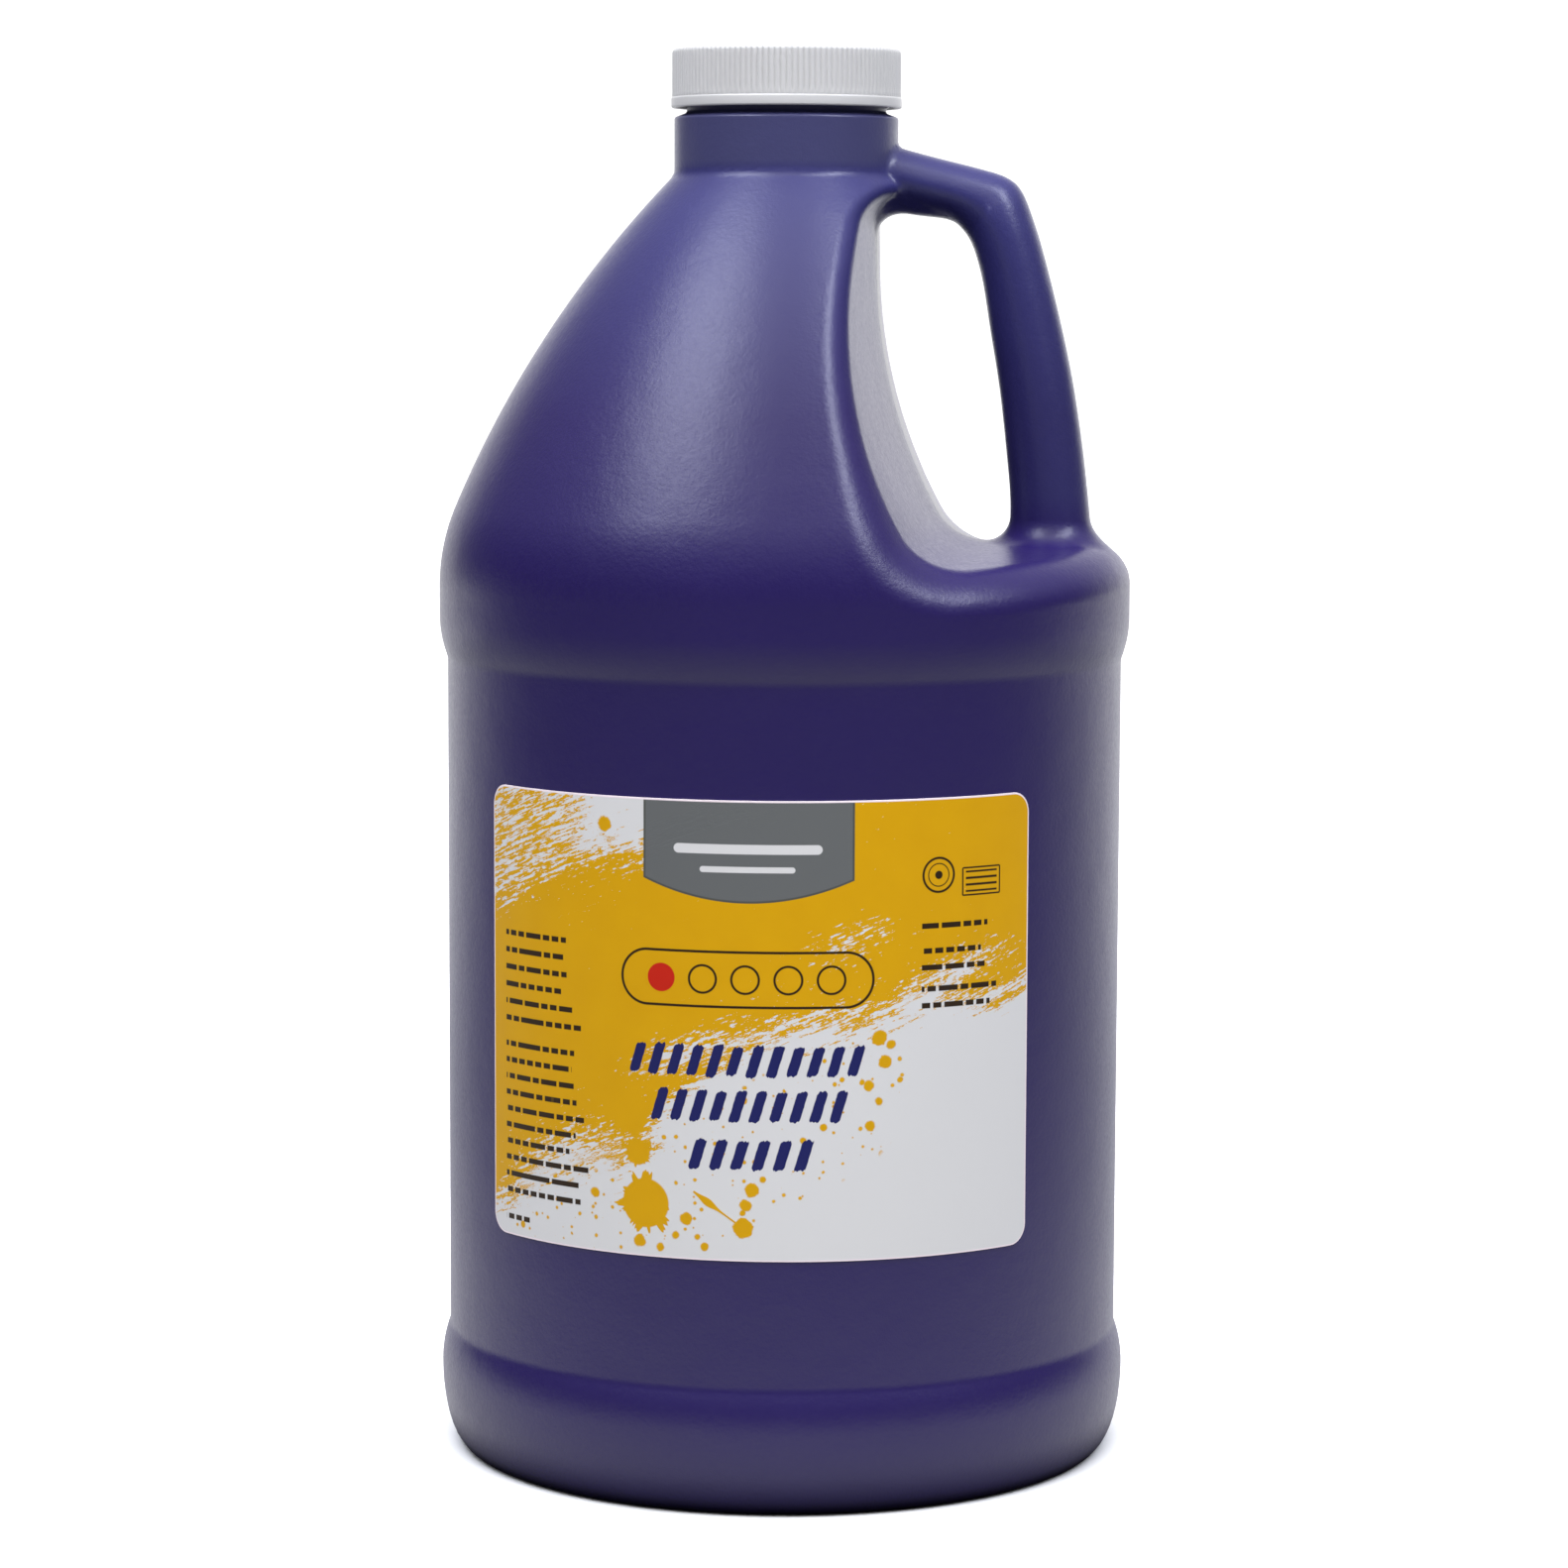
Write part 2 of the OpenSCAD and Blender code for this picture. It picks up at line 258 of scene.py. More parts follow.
def side_of_curve(p, curve):
    """Distance of each point to the left of a curve, negative to its right, and its place along the curve."""
    best = np.full(len(p), np.inf)
    signed, along = np.zeros(len(p)), np.zeros(len(p))
    for i, (start, end) in enumerate(zip(curve, curve[1:])):
        step = end - start
        away = p - start
        t = np.clip(away @ step / (step @ step), 0, 1)
        distance = np.linalg.norm(away - t[:, None] * step, axis=1)
        closer = distance < best
        best[closer] = distance[closer]
        left = step[0] * away[:, 1] - step[1] * away[:, 0]
        signed[closer] = np.where(left > 0, distance, -distance)[closer]
        along[closer] = (i + t)[closer]
    return signed, along


def handle_distance(x, y, z):
    """Distance to the handle. Its section is an ellipse between the outer and the inner edge."""
    out = np.full(x.shape, 50.0)
    near = (x > 5) & (z > 145) & (np.abs(y) < 2.2 * GRIP_DEPTH)
    p = np.stack([x[near], z[near]], axis=1)
    from_outer, along = side_of_curve(p, HANDLE_OUTER)
    from_inner, _ = side_of_curve(p, HANDLE_INNER)
    half = np.maximum((from_inner - from_outer) / 2, 2.0)
    depth = np.interp(along, np.arange(len(HANDLE_DEPTH)), HANDLE_DEPTH)
    q, d = (from_inner + from_outer) / 2 / half, y[near] / depth
    level = np.hypot(q, d)
    slope = np.hypot(q / half, d / depth) / np.maximum(level, 1e-6)
    out[near] = (level - 1) / np.maximum(slope, 1 / GRIP_DEPTH)
    return out


def round_corner(a, b, radius):
    """The overlap of two shapes, with the edge between them rolled over."""
    return (np.minimum(np.maximum(a, b), -radius)
            + np.hypot(np.maximum(a + radius, 0), np.maximum(b + radius, 0)))


def fillet_union(a, b, radius):
    """Both shapes together, with a fillet between them."""
    return (np.maximum(np.minimum(a, b), radius)
            - np.hypot(np.maximum(radius - a, 0), np.maximum(radius - b, 0)))


def handle_fillet(y, z):
    """Radius of the fillet at the handle's roots."""
    share = np.clip((np.abs(y) - 1.5) / 5.0, 0, 1)
    share = share ** 2 * (3 - 2 * share)
    middle = np.interp(z, HANDLE_FILLET_Z, HANDLE_FILLET)
    return middle + (np.interp(z, HANDLE_FILLET_Z, HANDLE_FILLET_FRONT) - middle) * share


def jug_distance(x, y, z):
    rim = np.interp(z, COVE_RIM_Z, COVE_RIM)
    body = round_corner(turned_distance(x, y, z), -cove_distance(x, y, z), rim)
    return fillet_union(body, handle_distance(x, y, z), handle_fillet(y, z))


def gradient(field, p, h=SLOPE_STEP):
    """The field's slope at each point."""
    steps = np.eye(3) * h
    return np.stack([(field(*(p + s).T) - field(*(p - s).T)) / (2 * h) for s in steps], axis=1)


def crossings(value, axis, cells, flip):
    """Grid edges along one axis that the zero level crosses.

    Returned are the crossing points, the four cells around each, which of those cells are in
    the grid, and which edges need their quad turned around.
    """
    a = np.take(value, range(cells[axis]), axis)
    b = np.take(value, range(1, cells[axis] + 1), axis)
    at = np.argwhere((a < 0) != (b < 0))
    va, vb = a[tuple(at.T)], b[tuple(at.T)]
    point = at.astype(float)
    point[:, axis] += va / (va - vb)
    ids, fits = [], []
    for du, dv in ((-1, -1), (0, -1), (0, 0), (-1, 0)):
        cell = at.copy()
        cell[:, (axis + 1) % 3] += du
        cell[:, (axis + 2) % 3] += dv
        fits.append(((cell >= 0) & (cell < cells)).all(axis=1))
        ids.append(np.ravel_multi_index(np.clip(cell, 0, cells - 1).T, cells))
    return point, ids, fits, (va >= 0) != flip


def cell_quads(value, cells, flip):
    """A point in each cell that the zero level passes through, and a quad for each grid edge it crosses."""
    total = np.zeros((cells.prod(), 3))
    count = np.zeros(cells.prod())
    quads = []
    for axis in range(3):
        point, ids, fits, turn = crossings(value, axis, cells, flip)
        for flat, inside in zip(ids, fits):
            np.add.at(total, flat[inside], point[inside])
            np.add.at(count, flat[inside], 1)
        quad = np.stack(ids, axis=1)
        quad[turn] = quad[turn][:, ::-1]
        quads.append(quad[np.all(fits, axis=0)])
    return total / np.maximum(count, 1)[:, None], np.vstack(quads)


def settle(field, points, quads, loose, step):
    """Spread the loose points out evenly, and move all points onto the zero level."""
    edges = np.vstack([quads[:, [k, (k + 1) % 4]] for k in range(4)])
    for turn in range(SPREAD_TURNS + SETTLE_TURNS):
        if turn < SPREAD_TURNS:
            mean, seen = np.zeros_like(points), np.zeros(len(points))
            for s, e in (edges.T, edges.T[::-1]):
                np.add.at(mean, s, points[e])
                np.add.at(seen, s, 1)
            points[loose] = (0.4 * points + 0.6 * mean / seen[:, None])[loose]
        for _ in range(2):
            g = gradient(field, points)
            away = field(*points.T) / np.maximum((g ** 2).sum(axis=1), 0.25)
            points -= np.clip(away, -step, step)[:, None] * g


def surface(field, low, high, step, cuts, flip):
    """A quad mesh on the field's zero level, between the two heights in cuts.

    Its points, quads and normals are returned, and its two edge rings in order of their angle.
    """
    axes = [np.arange(a, b + step, step) for a, b in zip(low, high)]
    grid = np.stack(np.meshgrid(*axes, indexing="ij"), axis=-1)
    value = field(*grid.reshape(-1, 3).T).reshape(grid.shape[:3])
    cells = np.array(value.shape) - 1
    cell_points, quads = cell_quads(value, cells, flip)
    layer = np.unravel_index(quads, cells)[2]
    ends = [round((height - low[2]) / step - 0.5) for height in cuts]
    quads = quads[((layer >= ends[0]) & (layer <= ends[1])).all(axis=1)]
    used, quads = np.unique(quads, return_inverse=True)
    quads = quads.reshape(-1, 4)
    points = np.array(low) + step * cell_points[used]
    layer = np.unravel_index(used, cells)[2]
    rings = [np.flatnonzero(layer == end) for end in ends]
    settle(field, points, quads, ~np.isin(layer, ends), step)
    for ring, height in zip(rings, cuts):
        points[ring, 2] = height
    normals = gradient(field, points, NORMAL_STEP)
    normals /= np.linalg.norm(normals, axis=1)[:, None] * (-1 if flip else 1)
    rings = [ring[np.argsort(np.arctan2(points[ring, 1], points[ring, 0]))] for ring in rings]
    return points, quads.tolist(), normals, rings


# ---------------------------------------------------------------------------
# Meshes made of turned and carved shells that share their edge rings

class Shell:
    """Points, faces and normals of one closed piece, gathered part by part."""

    def __init__(self):
        self.points = np.zeros((0, 3))
        self.normals = np.zeros((0, 3))
        self.faces = []

    def add(self, points, faces, normals=None):
        """Add points, with faces numbered from the first of them. Where that one ends up is returned."""
        offset = len(self.points)
        self.points = np.vstack([self.points, points])
        self.normals = np.vstack([self.normals, np.zeros_like(points) if normals is None else normals])
        self.faces += [[k + offset for k in face] for face in faces]
        return offset

    def turned(self, rows, columns, radius=None):
        """A lathe through rows of (radius, height). radius(r, z, angles) may change a row's radii."""
        angles = np.linspace(-math.pi, math.pi, columns, endpoint=False)
        rings = []
        for r, z in rows:
            if r == 0:
                offset = self.add([[0, 0, z]], [])
                rings.append([offset])
                continue
            radii = np.full(columns, r) if radius is None else radius(r, z, angles)
            points = np.stack([radii * np.cos(angles), radii * np.sin(angles), np.full(columns, z)], axis=1)
            offset = self.add(points, [])
            rings.append(list(range(offset, offset + columns)))
        for a, b in zip(rings, rings[1:]):
            for k in range(columns):
                n = (k + 1) % columns
                if len(a) == 1:
                    self.faces.append([a[0], b[n], b[k]])
                elif len(b) == 1:
                    self.faces.append([a[k], a[n], b[0]])
                else:
                    self.faces.append([a[k], a[n], b[n], b[k]])
        return rings[0], rings[-1]

    def bridge(self, a, b):
        """Triangles between two rings, both in order of their angle."""
        turns = []
        for ring in (a, b):
            turn = np.arctan2(self.points[ring, 1], self.points[ring, 0])
            turns.append(list(turn[1:]) + [2 * math.pi + turn[0], math.inf])
        i = j = 0
        while i < len(a) or j < len(b):
            if turns[0][i] <= turns[1][j]:
                self.faces.append([a[i % len(a)], a[(i + 1) % len(a)], b[j % len(b)]])
                i += 1
            else:
                self.faces.append([a[i % len(a)], b[(j + 1) % len(b)], b[j % len(b)]])
                j += 1

    def object(self, name):
        """The Blender object, smooth shaded, with the given normals where there are any."""
        mesh = bpy.data.meshes.new(name)
        mesh.from_pydata((self.points * MM).tolist(), [], self.faces)
        mesh.validate()
        mesh.shade_smooth()
        given = np.linalg.norm(self.normals, axis=1) > 0.5
        if given.any():
            own = np.zeros(len(mesh.vertices) * 3)
            mesh.vertex_normals.foreach_get("vector", own)
            own = own.reshape(-1, 3)
            own[given] = self.normals[given]
            mesh.normals_split_custom_set_from_vertices(own.tolist())
        piece = bpy.data.objects.new(name, mesh)
        bpy.context.scene.collection.objects.link(piece)
        return piece


def add_carved(shell, field, step, top_z, flip=False):
    """A field's surface, from UPPER_LOW_Z to top_z. Its lowest and highest rings are returned."""
    side = math.ceil(BUMPER_R / step + 1) * step + GRID_SHIFT
    low = (-side, -side, UPPER_LOW_Z - 2.5 * step)
    high = (side, side, top_z + 1.5 * step)
    points, quads, normals, rings = surface(field, low, high, step, (UPPER_LOW_Z, top_z), flip)
    offset = shell.add(points, quads, normals)
    return [(ring + offset).tolist() for ring in rings]


def ridge(turns, z, start_z, start, laps, crest, root):
    """Height of a screw thread, from 0 to 1, at a turn around the axis and a height.

    The thread starts at the turn called start and the height start_z, and runs for laps turns.
    """
    height = np.zeros_like(turns)
    for lap in range(-1, 3):
        run = turns + lap - start
        off = np.abs(z - start_z - THREAD_PITCH * run)
        shape = np.clip((root / 2 - off) / (root - crest) * 2, 0, 1)
        ends = np.clip(np.minimum(run, laps - run) / THREAD_RUN_OUT, 0, 1)
        height = np.maximum(height, shape ** 2 * (3 - 2 * shape) * np.sqrt(ends))
    return height


def finish_radius(r, z, angles):
    """The neck's outer radius, with the thread on it."""
    if r < FINISH_R - 0.01 or z < LEDGE_Z + COLLAR_H + 0.2 or z > RIM_Z - 0.5:
        return np.full(len(angles), r)
    turns = angles / (2 * math.pi)
    return r + THREAD_DEPTH * ridge(turns, z, THREAD_LOW_Z, 0, THREAD_TURNS, THREAD_CREST, THREAD_ROOT)


def neck_outline():
    """The neck from outside to inside: its wall, the ledge, the threaded finish, the rim and the mouth."""
    rows = [np.array([NECK_R, z]) for z in (OUTER_TOP_Z + 0.3, LEDGE_Z - 0.9)]
    rows += arc(np.array([NECK_R - 0.5, LEDGE_Z - 0.5]), 0.5, 0, 62, 4)
    rows += arc(np.array([FINISH_R + 0.6, LEDGE_Z + COLLAR_H + 0.25]), 0.6, 238, 180, 4)
    rows += [np.array([FINISH_R, z]) for z in np.linspace(LEDGE_Z + COLLAR_H + 0.3, RIM_Z - 0.5, 41)[1:]]
    rows += arc(np.array([FINISH_R - 0.4, RIM_Z - 0.4]), 0.4, 8, 90, 4)
    rows += arc(np.array([MOUTH_R + 0.4, RIM_Z - 0.4]), 0.4, 90, 180, 4)
    rows += [np.array([MOUTH_R, z]) for z in np.linspace(RIM_Z - 2, LEDGE_Z + 0.4, 6)]
    rows += [np.array([MOUTH_R + 0.1, LEDGE_Z]), np.array([MOUTH_R + 0.5, LEDGE_Z - 0.6])]
    rows += [np.array([NECK_R - WALL - 0.5, LEDGE_Z - TAPER_H + 0.4])]
    rows += [np.array([NECK_R - WALL - 0.1, LEDGE_Z - TAPER_H]), np.array([NECK_R - WALL, INNER_TOP_Z + 0.3])]
    return rows


def inner_distance(x, y, z):
    """Distance to the inside of the jug's wall."""
    return jug_distance(x, y, z) + WALL


def make_bottle():
    """The hollow jug in one closed shell, gone round from outside to inside."""
    shell = Shell()
    _, below = shell.turned(lower_outline(0, 4), 288)
    low, high = add_carved(shell, jug_distance, OUTER_STEP, OUTER_TOP_Z)
    shell.bridge(below, low)
    neck_low, neck_in = shell.turned(neck_outline(), 240, finish_radius)
    shell.bridge(high, neck_low)
    inner_low, inner_high = add_carved(shell, inner_distance, INNER_STEP, INNER_TOP_Z, flip=True)
    shell.bridge(neck_in, inner_high)
    inner_top, _ = shell.turned(lower_outline(WALL, 2)[::-1], 144)
    shell.bridge(inner_low, inner_top)
    return shell.object("jug_body")


# ---------------------------------------------------------------------------
# The paint inside, up to its level surface

PAINT_INSET = WALL + 0.2
PAINT_EDGE = 0.5


def paint_distance(x, y, z):
    """Distance to the paint, just inside the wall and below its level."""
    return round_corner(jug_distance(x, y, z) + PAINT_INSET, z - FILL_Z, PAINT_EDGE)


def make_paint():
    shell = Shell()
    _, below = shell.turned(lower_outline(PAINT_INSET, 2), 144)
    low, _ = add_carved(shell, paint_distance, INNER_STEP, FILL_Z + 3)
    shell.bridge(below, low)
    return shell.object("paint_fill")


# ---------------------------------------------------------------------------
# Cap and liner

CAP_R = CAP_HIGH[0] - 0.16
CAP_BORE_R = FINISH_R + THREAD_DEPTH + 0.25
CAP_THREAD_DEPTH = 1.15
CAP_PANEL = 1.3
CAP_EDGE = 0.9
BEAD_H = 1.9
CAP_DIMPLE = 0.25
RIBS = 124
RIB_DEPTH = 0.25
RIB_COLUMNS = 8


def rib_radius(r, z, angles):
    """The cap's outer radius: wide soft ribs with a narrow groove between each two."""
    if r < CAP_R - 0.5 or z < CAP_LOW[2] + BEAD_H + 0.1:
        return np.full(len(angles), r)
    fade_low = np.clip((z - CAP_LOW[2] - BEAD_H) / 0.35, 0, 1)
    fade_high = np.clip((CAP_HIGH[2] - 0.35 - z) / 0.5, 0, 1)
    groove = np.abs(np.cos(RIBS * angles / 2)) ** 7
    return r - RIB_DEPTH * groove * min(fade_low, fade_high) ** 0.5


def cap_inner_radius(r, z, angles):
    """The cap's inner radius, with its thread between the neck's threads."""
    if abs(r - CAP_BORE_R) > 0.01:
        return np.full(len(angles), r)
    start_z = THREAD_LOW_Z + THREAD_PITCH / 6
    return r - CAP_THREAD_DEPTH * ridge(angles / (2 * math.pi), z, start_z, 2 / 3, 1, 0.7, 1.5)


def cap_inside():
    """The cap's inside, from the middle of its ceiling to its lower edge."""
    ceiling = CAP_HIGH[2] - CAP_PANEL
    rows = [np.array([r, ceiling]) for r in (0, 6, 12, 17, CAP_BORE_R - 0.5)]
    rows += arc(np.array([CAP_BORE_R - 0.4, ceiling - 0.4]), 0.4, 80, 20, 3)
    rows += [np.array([CAP_BORE_R, z]) for z in np.linspace(ceiling - 0.5, CAP_LOW[2] + 0.5, 40)]
    rows += [np.array([CAP_BORE_R + 0.12, CAP_LOW[2] + 0.15]), np.array([CAP_BORE_R + 0.3, CAP_LOW[2]])]
    return rows


def cap_outside():
    """The cap's outside, from its lower edge over the bead and the ribs to the middle of its top."""
    bead = CAP_HIGH[0]
    low, high = CAP_LOW[2], CAP_HIGH[2]
    rows = [np.array([bead - 0.5, low])]
    rows += arc(np.array([bead - 0.35, low + 0.35]), 0.35, -75, 0, 4)
    rows += arc(np.array([bead - 0.35, low + BEAD_H - 0.35]), 0.35, 0, 60, 4)
    rows += [np.array([CAP_R, z]) for z in np.linspace(low + BEAD_H, high - CAP_EDGE, 12)]
    rows += arc(np.array([CAP_R - CAP_EDGE, high - CAP_EDGE]), CAP_EDGE, 12, 90, 7)
    top = [(CAP_R - 1.6, 0), (CAP_R - 2.4, 0.03), (CAP_R - 2.8, 0.22), (CAP_R - 3.3, CAP_DIMPLE),
           (12, CAP_DIMPLE), (6, CAP_DIMPLE), (2.1, CAP_DIMPLE), (1.7, 0.2), (1.1, 0.12), (0, 0.1)]
    return rows + [np.array([r, high - drop]) for r, drop in top]


def make_cap():
    """The cap in one closed shell."""
    shell = Shell()
    _, inner_low = shell.turned(cap_inside(), 248, cap_inner_radius)
    outer_low, _ = shell.turned(cap_outside(), RIB_COLUMNS * RIBS, rib_radius)
    shell.bridge(inner_low, outer_low)
    return shell.object("screw_cap")


LINER_EDGE = 0.25
PRESS_HALF_W = 1.5
PRESS_H = 0.08


def make_liner():
    """A foam disc with a ring pressed into it by the jug's rim."""
    low, high = LINER_LOW[2], LINER_HIGH[2]
    edge = LINER_HIGH[0] - LINER_EDGE
    press_r = (FINISH_R + MOUTH_R) / 2
    rows = [np.array([r, low]) for r in (0, 5, 10, press_r - 2.6)]
    for share in np.linspace(-1, 1, 9):
        rows.append(np.array([press_r + PRESS_HALF_W * share, low + PRESS_H * (1 - share * share)]))
    rows += arc(np.array([edge, low + LINER_EDGE]), LINER_EDGE, -90, 0, 5)
    rows += arc(np.array([edge, high - LINER_EDGE]), LINER_EDGE, 0, 90, 5)
    rows += [np.array([r, high]) for r in (12, 6, 0)]
    shell = Shell()
    shell.turned(rows, 192)
    return shell.object("foam_liner")


# ---------------------------------------------------------------------------
# Label

LABEL_T = 0.2
LABEL_R = PANEL_R + 0.02 + LABEL_T
LABEL_W = 2 * LABEL_R * math.asin(LABEL_HIGH[0] / LABEL_R)
LABEL_H = LABEL_HIGH[2] - LABEL_LOW[2]
LABEL_CORNER = 3.5
LABEL_EDGE = 0.05
LABEL_COLUMNS = 90
LABEL_ROWS = 16


def label_columns():
    """Places across the label, with its lower and upper edge at each."""
    half = LABEL_W / 2
    corner = [half - LABEL_CORNER * (1 - math.sin(a)) for a in np.linspace(0, math.pi / 2, 9)]
    middle = np.linspace(-corner[0], corner[0], LABEL_COLUMNS)[1:-1]
    rows = []
    for u in [-c for c in corner[::-1]] + list(middle) + corner:
        into = max(abs(u) - (half - LABEL_CORNER), 0)
        cut = LABEL_CORNER - math.sqrt(max(LABEL_CORNER ** 2 - into ** 2, 0))
        rows.append((u, cut, LABEL_H - cut))
    return rows


def film_layer(columns, depth, shrink):
    """Points of the film at one depth, with its outline drawn in by shrink."""
    points = []
    for u, low, high in columns:
        angle = u * (1 - shrink / LABEL_W * 2) / LABEL_R
        radius = LABEL_R - depth
        for share in np.linspace(0, 1, LABEL_ROWS + 1):
            z = LABEL_LOW[2] + low + shrink + (high - low - 2 * shrink) * share
            points.append([radius * math.sin(angle), -radius * math.cos(angle), z])
    return points


def film_faces(columns):
    """Front and back of the film, and its edge, from three layers of points."""
    layer, step, last = columns * (LABEL_ROWS + 1), LABEL_ROWS + 1, columns - 1
    faces = []
    for column in range(last):
        for row in range(LABEL_ROWS):
            front = column * step + row
            back = front + 2 * layer
            faces.append([front, front + step, front + step + 1, front + 1])
            faces.append([back, back + 1, back + step + 1, back + step])
    edge = [column * step for column in range(columns)] + [last * step + row for row in range(1, step)]
    edge += [column * step + LABEL_ROWS for column in range(last - 1, -1, -1)]
    edge += list(range(LABEL_ROWS - 1, 0, -1))
    for start in (0, layer):
        for a, b in zip(edge, edge[1:] + edge[:1]):
            faces.append([a + start, a + start + layer, b + start + layer, b + start])
    return faces


def make_label():
    """A thin curved film with round corners. Its front is split finely enough to follow the jug."""
    columns = label_columns()
    points = []
    for depth, shrink in ((0, LABEL_EDGE), (LABEL_EDGE, 0), (LABEL_T, 0)):
        points += film_layer(columns, depth, shrink)
    shell = Shell()
    shell.add(points, film_faces(len(columns)))
    piece = shell.object("front_label")
    piece.data.set_sharp_from_angle(angle=math.radians(30))
    return piece


# ---------------------------------------------------------------------------
# Shader arithmetic

class Value:
    """A number or vector in a shader. Arithmetic on it makes Math nodes."""

    def __init__(self, tree, output):
        self.tree = tree
        self.output = output

    def __add__(self, other):
        return calc("ADD", self, other)

    def __sub__(self, other):
        return calc("SUBTRACT", self, other)

    def __rsub__(self, other):
        return calc("SUBTRACT", other, self)

    def __mul__(self, other):
        return calc("MULTIPLY", self, other)

    def __truediv__(self, other):
        return calc("DIVIDE", self, other)

    def __neg__(self):
        return calc("MULTIPLY", self, -1.0)


def feed(tree, socket, value):
    """Link a Value to a socket, or set the socket to a constant."""
    if isinstance(value, Value):
        tree.links.new(value.output, socket)
    else:
        socket.default_value = value


def calc(operation, *values):
    """A Math node of one operation."""
    tree = next(v.tree for v in values if isinstance(v, Value))
    node = tree.nodes.new("ShaderNodeMath")
    node.operation = operation
    for socket, value in zip(node.inputs, values):
        feed(tree, socket, value)
    return Value(tree, node.outputs[0])


def lowest(a, b):
    return calc("MINIMUM", a, b)


def highest(a, b):
    return calc("MAXIMUM", a, b)


def size_of(a):
    return calc("ABSOLUTE", a)


def ramp(value, start, end, low=0.0, high=1.0):
    """From low to high as value goes from start to end, and level outside."""
    node = value.tree.nodes.new("ShaderNodeMapRange")
    for socket, given in zip(node.inputs, (value, start, end, low, high)):
        feed(value.tree, socket, given)
    return Value(value.tree, node.outputs[0])


def vector(x, y, z):
    tree = next(v.tree for v in (x, y, z) if isinstance(v, Value))
    node = tree.nodes.new("ShaderNodeCombineXYZ")
    for socket, value in zip(node.inputs, (x, y, z)):
        feed(tree, socket, value)
    return Value(tree, node.outputs[0])


def noise(place, scale, detail=2.0, roughness=0.5):
    node = place.tree.nodes.new("ShaderNodeTexNoise")
    feed(place.tree, node.inputs["Vector"], place)
    node.inputs["Scale"].default_value = scale
    node.inputs["Detail"].default_value = detail
    node.inputs["Roughness"].default_value = roughness
    return Value(place.tree, node.outputs["Fac"])


def random(*numbers):
    """A number from 0 to 1 for each different set of up to three whole numbers."""
    place = vector(*(list(numbers) + [0.0, 0.0])[:3])
    node = place.tree.nodes.new("ShaderNodeTexWhiteNoise")
    node.noise_dimensions = "3D"
    feed(place.tree, node.inputs["Vector"], place)
    return Value(place.tree, node.outputs["Value"])


def scatter(place, scale):
    """Distance to the nearest of many scattered points, and a random number for that point."""
    node = place.tree.nodes.new("ShaderNodeTexVoronoi")
    node.voronoi_dimensions = "2D"
    feed(place.tree, node.inputs["Vector"], place)
    node.inputs["Scale"].default_value = scale
    split = place.tree.nodes.new("ShaderNodeSeparateColor")
    place.tree.links.new(node.outputs["Color"], split.inputs[0])
    return Value(place.tree, node.outputs["Distance"]) / scale, Value(place.tree, split.outputs[0])


def linear(shade):
    """A colour given as 0 to 255 in sRGB, as Blender's linear RGBA."""
    parts = [c / 255 / 12.92 if c <= 10 else ((c / 255 + 0.055) / 1.055) ** 2.4 for c in shade]
    return (*parts, 1.0)


def mix(share, first, second):
    """The first colour where share is 0, and the second where it is 1."""
    tree = share.tree
    node = tree.nodes.new("ShaderNodeMix")
    node.data_type = "RGBA"
    feed(tree, node.inputs[0], share)
    feed(tree, node.inputs[6], first)
    feed(tree, node.inputs[7], second)
    return Value(tree, node.outputs[2])


class Finish:
    """A material, with its shader and the place on the surface in millimetres."""

    def __init__(self, name, **constants):
        self.material = bpy.data.materials.new(name)
        self.material.use_nodes = True
        self.tree = self.material.node_tree
        self.shader = self.tree.nodes["Principled BSDF"]
        for socket, value in constants.items():
            self.shader.inputs[socket.replace("_", " ")].default_value = value
        place = Value(self.tree, self.tree.nodes.new("ShaderNodeTexCoord").outputs["Object"])
        scale = self.tree.nodes.new("ShaderNodeVectorMath")
        scale.operation = "SCALE"
        feed(self.tree, scale.inputs[0], place)
        scale.inputs["Scale"].default_value = 1 / MM
        self.place = Value(self.tree, scale.outputs[0])
        split = self.tree.nodes.new("ShaderNodeSeparateXYZ")
        feed(self.tree, split.inputs[0], self.place)
        self.x, self.y, self.z = (Value(self.tree, out) for out in split.outputs)

    def set(self, socket, value):
        feed(self.tree, self.shader.inputs[socket], value)

    def bump(self, height_mm):
        """Small relief, from a height in millimetres."""
        node = self.tree.nodes.new("ShaderNodeBump")
        node.inputs["Strength"].default_value = 1.0
        node.inputs["Distance"].default_value = 1.0
        feed(self.tree, node.inputs["Height"], height_mm * MM)
        self.tree.links.new(node.outputs["Normal"], self.shader.inputs["Normal"])

    def on(self, piece):
        piece.data.materials.clear()
        piece.data.materials.append(self.material)


# ---------------------------------------------------------------------------
# Materials

